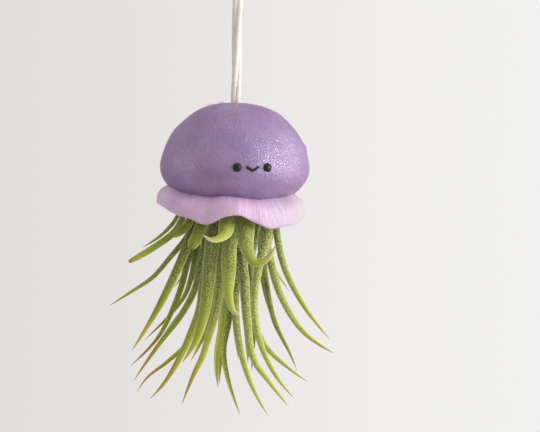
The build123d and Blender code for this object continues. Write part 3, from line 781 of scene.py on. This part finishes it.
smile_line = []
for step in range(41):
    across = -1 + step / 20
    fall = SMILE_FALL * (1 - abs(across) ** 1.5) - SMILE_RISE
    turn = degrees(asin(across * SMILE_WIDTH / 2 / BELL_RADIUS))
    smile_line.append(on_bell(turn, FACE_DROP + fall, SMILE_LIFT)[0])
smile_line = even(smile_line, SMILE_STEP)
points = []
for index, (middle, (side, up)) in enumerate(zip(smile_line, cross_directions(smile_line, toward(0)))):
    end = min(index, len(smile_line) - 1 - index) * SMILE_STEP
    round_end = sqrt(max(0.02, 1 - max(0.0, 1 - end / SMILE_ROUNDING) ** 2))
    for k in range(SMILE_CORNERS):
        angle = tau * k / SMILE_CORNERS
        points.append(middle + turned(side * SMILE_RADII[0], up * SMILE_RADII[1], angle) * round_end)
smile = mesh_piece("clay_smile", points, tube_faces(len(smile_line), SMILE_CORNERS, 0))
smile.data.materials.append(black_finish)
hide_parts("smile")
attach(smile, "bell")


# The spots. Two dabs of nearly white lilac clay, pressed on to the crown behind the cord.
DAB_WIDTH = 0.0034
DAB_HEIGHT = 0.00098
# Each dab: its turn, how far out it is as a share of the bell's radius, and its size.
DABS = [(222, 0.43, 1.15), (207, 0.27, 1.05)]
cream = Finish("pale_clay")
spot = cream.place()
skin = cream.mottle(spot, 2400, 3.0, 0.6)
cloud = cream.mottle(spot, 500)
white = cream.mix(cloud.between(0.3, 0.7), srgb(236, 222, 236), srgb(246, 236, 245))
white_finish = cream.surface(
    Base_Color=white, Roughness=0.5 + skin * 0.1, Normal=cream.relief(skin, 0.4, 0.0001))
for number, (turn, out_share, size) in enumerate(DABS):
    radius = out_share * BELL_RADIUS
    a, b = next(pair for pair in zip(outside, outside[1:]) if pair[0].x <= radius < pair[1].x)
    drop = CROWN - a.y - (b.y - a.y) * (radius - a.x) / (b.x - a.x)
    dab = pressed_ball("clay_spot_%d" % number, turn, drop, DAB_WIDTH * size, DAB_HEIGHT * size, number)
    dab.data.materials.append(white_finish)
    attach(dab, "bell")
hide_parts("crown_spots")


# The plant. An air plant pushed in upside down: a bulb of leaf bases wrapped over each other, dry and
# brown at its root, and 35 channelled leaves that come out of the mouth and bend outward.
PLANT_TURN = -15
BULB_RADIUS = 0.009
BULB_HEIGHT = CROWN - 0.0235
BULB_ROWS = 64
BULB_TURNS = 128
# Two layers of wrapped bases: how many, their slant, their start, how far round each ends, how proud it is.
BULB_LAYERS = [(5, 0.9, 0.0, 0.88, 0.05), (7, -1.1, 0.3, 0.85, 0.02)]


def overlap(phase, edge):
    """How proud a wrapped leaf base stands: it swells up to its edge and falls off behind it."""
    phase %= 1
    return phase if phase < edge else (1 - phase) * edge / (1 - edge)


bulb_points = []
for row in range(BULB_ROWS + 1):
    upward = pi * row / BULB_ROWS
    for step in range(BULB_TURNS):
        turn = 360 * step / BULB_TURNS
        swell = 0.95
        if 0 < row < BULB_ROWS:
            swell = 0.93 + sum(proud * overlap(turn / 360 * count + upward * slant + start, edge)
                               for count, slant, start, edge, proud in BULB_LAYERS)
        radius = BULB_RADIUS * swell
        bulb_points.append(placed(turn, radius * sin(upward), BULB_HEIGHT - radius * cos(upward)))
bulb = mesh_piece("plant_bulb", bulb_points, tube_faces(BULB_ROWS + 1, BULB_TURNS, 0))

sheath = Finish("leaf_base")
spot = sheath.place()
height = sheath.add("SeparateXYZ", {}, {"Vector": spot}, "Z")
vein = sheath.mottle(sheath.vectors("MULTIPLY", spot, (3.5, 3.5, 0.5)), 420, 3.0)
speck = sheath.mottle(spot, 3600).between(0.52, 0.64)
dry = height.between(BULB_HEIGHT - 0.002, BULB_HEIGHT + 0.008)
wrapped = sheath.mix(vein.between(0.3, 0.7), srgb(128, 134, 84), srgb(170, 172, 122))
brown = sheath.mix(vein.between(0.3, 0.7), srgb(92, 68, 46), srgb(146, 116, 82))
wrapped = sheath.mix(speck * 0.4, wrapped, srgb(206, 207, 184))
bulb.data.materials.append(sheath.surface(
    Base_Color=sheath.mix(dry, wrapped, brown), Roughness=0.75,
    Normal=sheath.relief(vein + speck * 0.4, 0.6, 0.0003)))
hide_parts("plant_base")
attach(bulb, "plant")

# Where each whorl leaves the bulb and passes the mouth: degrees up from the bulb's foot, share of the
# mouth, and how much painted shade darkens it, deep in the bunch where little light reaches.
WHORLS = {
    "outer": (88, 1.0, 0.0), "second": (62, 0.64, 0.1), "third": (38, 0.4, 0.6), "inner": (14, 0.16, 0.8),
}
ROOT_DEPTH = 0.008              # how far from the bulb's middle a leaf starts
PLANT_SPREAD = 0.040
PLANT_LENGTH = 0.080
LEAF_WIDTH = 0.0056
LEAF_STEP = 0.0006
LEAF_COLUMNS = 10               # across its channelled face, and across its back
LEAF_MARGIN = 0.045             # half the thickness of its edges, as a share of its width
CHANNEL_FACE = 0.29             # how far its face and its back arch, as shares of its width
CHANNEL_BACK = 0.20
OUTER_BACK = 0.34               # room at the mouth for an outer leaf's arch, as a share of its width
MOUTH_CLEARANCE = 0.00045
FRONT_TWIST = 50                # degrees that a leaf at the side turns below the mouth,
REAR_TWIST = -35                # and one at the back,
REAR_FROM = 110                 # which is from this turn on,
OWN_TWIST = 6                   # and how far each leaf strays from that
TWIST_LENGTH = 0.012            # from the mouth down to where it has turned in full
LEAF_WAVER = 0.04               # how much its width wavers, as a share of it
# How a leaf narrows: share of its length, share of its width.
TAPERS = {
    "pointed": [(0, 0.55), (0.08, 0.8), (0.18, 0.97), (0.32, 1.0), (0.5, 0.92), (0.68, 0.76), (0.82, 0.55),
                (0.93, 0.3), (1, 0.03)],
    "cut": [(0, 0.55), (0.1, 0.8), (0.3, 1.0), (0.7, 0.98), (0.9, 0.9), (0.97, 0.74), (1, 0.45)],
    "tapered": [(0, 0.6), (0.12, 0.95), (0.2, 1.0), (0.3, 0.86), (0.42, 0.62), (0.7, 0.52), (0.88, 0.3),
                (1, 0.03)],
    "blunt": [(0, 0.6), (0.12, 0.9), (0.3, 1.0), (0.62, 0.94), (0.76, 0.72), (0.86, 0.48), (0.94, 0.34),
              (0.985, 0.2), (1, 0.05)],
    "hooked": [(0, 0.6), (0.1, 0.86), (0.3, 1.0), (0.58, 1.0), (0.72, 0.84), (0.85, 0.58), (0.94, 0.34),
               (1, 0.05)],
    "curled": [(0, 0.6), (0.1, 0.86), (0.25, 1.0), (0.45, 0.95), (0.62, 0.7), (0.78, 0.42), (0.92, 0.22),
               (1, 0.04)],
}
# The leaves of each whorl, leaf_01 first: turn from the plant's front, width share, how light its green is,
# how far its ripe end reaches back, the colour of its end from straw to rust, the places below the mouth that
# it passes, across, forward and down, in thousandths of the spread and the length, and how it narrows.
LEAVES = {"outer": [
    (-88, 0.42, 0.35, 0.78, 0.6, [(-540, 30, 140), (-640, 30, 190), (-790, 30, 240)]),
    (-67, 0.46, 0.35, 0.76, 0.42, [(-500, 200, 160), (-680, 250, 230), (-880, 280, 290)], "cut"),
    (-49, 0.6, 0.3, 0.95, 0.3, [(-410, 330, 140), (-500, 380, 170)], "cut"),
    (-30, 0.78, 0.05, 0.95, 0.25, [(-280, 450, 150), (-335, 560, 210)], "cut"),
    (-9, 1.02, 0.78, 0.8, 0.0, [(-40, 470, 110), (-80, 600, 160), (-160, 640, 170), (-230, 620, 150)],
        "hooked"),
    (11, 1.25, 0.38, 0.8, 0.08, [(115, 470, 120), (135, 570, 210), (205, 600, 262), (290, 600, 250),
        (370, 570, 190)], "curled"),
    (40, 0.82, 0.64, 0.85, 0.2, [(290, 350, 160), (230, 400, 300), (200, 450, 430), (270, 530, 620),
        (410, 570, 750), (550, 600, 830)], "tapered"),
    (66, 0.46, 0.42, 0.74, 0.28, [(378, 175, 153), (448, 200, 299), (610, 225, 456), (854, 250, 609)]),
    (92, 0.39, 0.75, 1.0, 0.0, [(321, -50, 254), (387, -150, 349), (452, -225, 400), (508, -275, 444)]),
    (-112, 0.5, 1.0, 1.0, 0.0, [(-390, -230, 290), (-480, -350, 400), (-550, -400, 450)]),
    (-136, 0.46, 0.35, 0.78, 0.8, [(-343, -325, 277), (-391, -425, 404), (-446, -475, 485), (-529, -512, 549),
        (-643, -550, 616), (-823, -600, 709)]),
    (-160, 0.72, 0.05, 0.8, 0.5, [(-180, -420, 280), (-200, -570, 510), (-280, -700, 690),
        (-400, -780, 820)]),
    (176, 0.85, 0.4, 0.8, 0.4, [(-60, -470, 280), (-60, -680, 420), (-50, -850, 530), (-40, -1000, 600)]),
    (150, 0.75, 0.4, 0.85, 0.3, [(80, -450, 280), (120, -620, 610), (140, -720, 820)]),
    (122, 0.65, 0.4, 0.85, 0.3, [(253, -300, 269), (296, -400, 449), (341, -475, 537), (404, -550, 626),
        (522, -625, 745)]),
], "second": [
    (-88, 0.43, 0.4, 0.9, 0.8, [(-410, 50, 194), (-544, 75, 279), (-695, 75, 369), (-874, 75, 432),
        (-1068, 75, 497)]),
    (-55, 0.64, 0.05, 0.72, 0.45, [(-340, 230, 150), (-410, 300, 250), (-520, 380, 380), (-650, 450, 510),
        (-820, 500, 650)]),
    (-20, 0.93, 0.25, 0.8, 0.2, [(-170, 350, 210), (-190, 420, 350), (-220, 500, 490), (-290, 550, 610),
        (-390, 570, 690)]),
    (12, 0.95, 0.55, 0.83, 0.0, [(-20, 380, 210), (-20, 450, 330), (-10, 530, 420), (30, 570, 470),
        (90, 600, 490)], "blunt"),
    (50, 0.5, 0.62, 0.78, 0.5, [(307, 200, 231), (428, 200, 430), (625, 200, 583), (898, 200, 676)]),
    (86, 0.5, 0.0, 0.9, 0.2, [(270, -50, 300), (310, -70, 430), (380, -100, 570), (520, -120, 710),
        (590, -150, 790)]),
    (124, 0.66, 0.4, 0.85, 0.6, [(150, -230, 310), (190, -300, 530), (190, -350, 700), (180, -380, 820)]),
    (162, 0.72, 0.4, 0.85, 0.3, [(-50, -330, 320), (-60, -420, 590), (-110, -470, 780), (-120, -500, 900)]),
    (-157, 0.52, 0.35, 0.74, 0.8, [(-279, -300, 266), (-319, -350, 360), (-351, -400, 446), (-428, -438, 533),
        (-515, -462, 589), (-634, -475, 668)]),
    (-122, 0.48, 0.3, 0.72, 0.7, [(-409, -175, 314), (-460, -225, 421), (-544, -275, 538), (-650, -300, 650),
        (-921, -300, 803)]),
], "third": [
    (-80, 0.52, 0.3, 0.76, 0.6, [(-270, 0, 300), (-350, -70, 450), (-470, -100, 560), (-630, -120, 670),
        (-870, -120, 850)]),
    (-28, 0.64, 0.35, 0.74, 0.6, [(-194, 175, 238), (-238, 225, 387), (-266, 275, 492), (-339, 300, 595),
        (-449, 325, 715), (-565, 350, 810), (-675, 350, 874)]),
    (24, 0.61, 0.85, 0.9, 0.25, [(70, 200, 210), (110, 230, 360), (140, 280, 530), (220, 350, 710),
        (330, 380, 780), (510, 400, 890)]),
    (76, 0.5, 0.6, 0.92, 0.35, [(153, 50, 329), (197, 50, 550), (289, 50, 655), (493, 50, 754),
        (682, 50, 820)]),
    (128, 0.66, 0.3, 0.85, 0.3, [(40, -120, 310), (30, -230, 620), (60, -250, 750)]),
    (180, 0.72, 1.0, 0.78, 0.35, [(-82, -175, 346), (-93, -250, 610), (-131, -275, 718), (-139, -275, 801),
        (-121, -275, 888)]),
    (-132, 0.48, 0.35, 0.74, 0.6, [(-210, -150, 310), (-260, -170, 530), (-380, -170, 670), (-580, -200, 770),
        (-770, -200, 850), (-850, -200, 910)]),
], "inner": [
    (-60, 0.64, 0.85, 0.74, 0.5, [(-101, 50, 297), (-121, 75, 462), (-157, 75, 551), (-198, 75, 627),
        (-250, 75, 716), (-316, 75, 788), (-422, 75, 928)]),
    (60, 0.57, 0.68, 0.93, 0.2, [(47, 50, 295), (28, 75, 461), (46, 100, 569), (85, 125, 677),
        (160, 150, 795), (259, 175, 896), (340, 175, 961)]),
    (180, 0.52, 0.52, 0.95, 0.1, [(-30, -50, 300), (-30, -70, 560), (-70, -70, 700), (-30, -70, 820),
        (20, -70, 900), (90, -70, 990)]),
]}


def widths(ending, share):
    """How wide a leaf is at a share of its length, as a share of its full width."""
    rows = TAPERS[ending]
    for (near, wide), (far, narrow) in zip(rows, rows[1:]):
        if share <= far:
            return wide + (narrow - wide) * (share - near) / (far - near)
    return rows[-1][1]


def leaf_section(wide):
    """The closed outline of a leaf cut across: shares of half its width, and heights over its middle."""
    margin = LEAF_MARGIN * wide
    section = []
    for k in range(LEAF_COLUMNS + 1):
        f = -1 + 2 * k / LEAF_COLUMNS
        section.append((f, margin + CHANNEL_FACE * wide * (1 - f * f)))
    section += [(1.024, margin * 0.5), (1.03, 0), (1.018, -margin * 0.5)]
    for k in range(LEAF_COLUMNS + 1):
        f = 1 - 2 * k / LEAF_COLUMNS
        section.append((f * 0.98, -margin + CHANNEL_BACK * wide * (1 - f * f)))
    return section + [(-1.018, -margin * 0.5), (-1.03, 0), (-1.024, margin * 0.5)]


def leaf(name, whorl, turn, width_share, light, ripe, rust, places, ending="pointed"):
    """A channelled leaf from the bulb through the mouth and along its way, with thin rounded margins."""
    rising, mouth_share, deep_shade = WHORLS[whorl]
    rising = radians(rising)
    width = width_share * LEAF_WIDTH
    heading = turn + PLANT_TURN
    passing = mouth_share * MOUTH_RADIUS
    if whorl == "outer":
        passing = MOUTH_RADIUS - MOUTH_CLEARANCE - OUTER_BACK * width
    ways = [placed(heading, ROOT_DEPTH * sin(rising), BULB_HEIGHT - ROOT_DEPTH * cos(rising)),
            placed(heading, passing, UNDERSIDE)]
    for across, forward, down in places:
        aside = toward(PLANT_TURN + 90) * (across / 1000 * PLANT_SPREAD)
        ways.append(aside + placed(
            PLANT_TURN, forward / 1000 * PLANT_SPREAD, UNDERSIDE - down / 1000 * PLANT_LENGTH))
    spine = even(smooth_line(ways, 24), LEAF_STEP)
    seed = turn * 0.37 + len(places)
    twist = FRONT_TWIST if abs(turn) < REAR_FROM else REAR_TWIST
    twist = twist * sin(radians(turn)) + OWN_TWIST * sin(seed * 2.3)
    points = []
    along = []
    across_values = []
    sides = cross_directions(spine, toward(heading + 90))
    for index, (middle, (side, back)) in enumerate(zip(spine, sides)):
        share = index / (len(spine) - 1)
        drop = min(1.0, max(0.0, (UNDERSIDE - middle.z) / TWIST_LENGTH))
        angle = radians(twist) * drop * drop * (3 - 2 * drop)
        side, back = turned(side, back, angle), turned(back, -side, angle)
        waver = 1 + LEAF_WAVER * noise.noise(Vector((share * 9, seed, 0)))
        wide = width * widths(ending, share) * waver
        for f, height in leaf_section(wide):
            points.append(middle + side * (f * wide / 2) + back * height)
            along.append(share)
            across_values.append(f)
    attributes = [("along", along), ("across", across_values)]
    for title, value in (("light", light), ("ripe", ripe), ("rust", rust), ("deep_shade", deep_shade)):
        attributes.append((title, [value] * len(points)))
    faces = tube_faces(len(spine), len(points) // len(spine), 0)
    piece = mesh_piece("plant_" + name, points, faces, attributes)
    piece.data.materials.append(leaf_finish)
    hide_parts(name)
    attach(piece, "plant")


green = Finish("leaf")
spot = green.place()
along, across, light, ripe, rust, deep_shade = [
    green.carried(title) for title in ("along", "across", "light", "ripe", "rust", "deep_shade")]
blade = green.add("CombineXYZ", {}, {"X": across * 3, "Y": along * 2, "Z": ripe * 37})
vein = green.mottle(blade, 1.6, 1.0)
cloud = green.mottle(spot, 170)
age = along - ripe
scurf = green.mottle(spot, 2500, 0.0)
bare = age.between(-0.24, 0.08)
# Painted shade: on a leaf deep in the bunch the silver specks grow fainter and the foot and belly darker.
silver = (scurf + light * 0.03).between(0.525, 0.60) * (0.76 - bare * 0.76) * (1 - deep_shade * 0.3)
foot = green.mix(light, srgb(58, 66, 12), srgb(142, 148, 70))
foot = green.mix(deep_shade, foot, srgb(52, 66, 14))
belly = green.mix(light, srgb(74, 88, 2), srgb(172, 184, 56))
belly = green.mix(deep_shade * 0.5, belly, srgb(74, 96, 18))
end = green.mix(light, srgb(136, 150, 20), srgb(210, 217, 92))
# Dark at the foot by the mouth, lighter towards the end: partly the leaf's own colour, partly painted shade
# under the skirt.
colour = green.mix(age.between(-0.62, -0.32), foot, belly)
colour = green.mix(age.between(-0.38, 0.06), colour, end)
colour = green.mix(vein.between(0.35, 0.7) * 0.30, colour, srgb(66, 74, 14))
colour = green.mix(cloud.between(0.4, 0.7) * 0.22, colour, srgb(164, 168, 66))
straw = green.mix(rust.between(0.0, 0.3), srgb(208, 190, 140), srgb(188, 178, 74))
straw = green.mix(rust.between(0.3, 0.9), straw, srgb(168, 102, 62))
colour = green.mix(age.between(0.0, 0.18), colour, straw)
colour = green.mix(along.between(0.965, 0.995) * rust, colour, srgb(84, 58, 46))
edge = across.maths("ABSOLUTE", across)
# Painted shade: darker down the middle of each leaf, as in the hollow of its channel.
colour = green.mix((1 - edge) * 0.22, colour, srgb(60, 70, 12))
colour = green.mix(edge.between(0.76, 1.0) * 0.5, colour, srgb(200, 204, 140))
colour = green.mix(silver, colour, green.mix(light, srgb(154, 164, 100), srgb(212, 218, 158)))
leaf_finish = green.surface(
    Base_Color=colour, Roughness=0.58 + scurf * 0.2, Specular_IOR_Level=0.25,
    Sheen_Weight=0.3, Sheen_Roughness=0.4, Sheen_Tint=srgb(238, 240, 214),
    Normal=green.relief((scurf + vein * 0.5) * (1 - bare), 0.9, 0.00020))
number = 0
for whorl, rows in LEAVES.items():
    for facts in rows:
        number += 1
        leaf("leaf_%02d" % number, whorl, *facts)
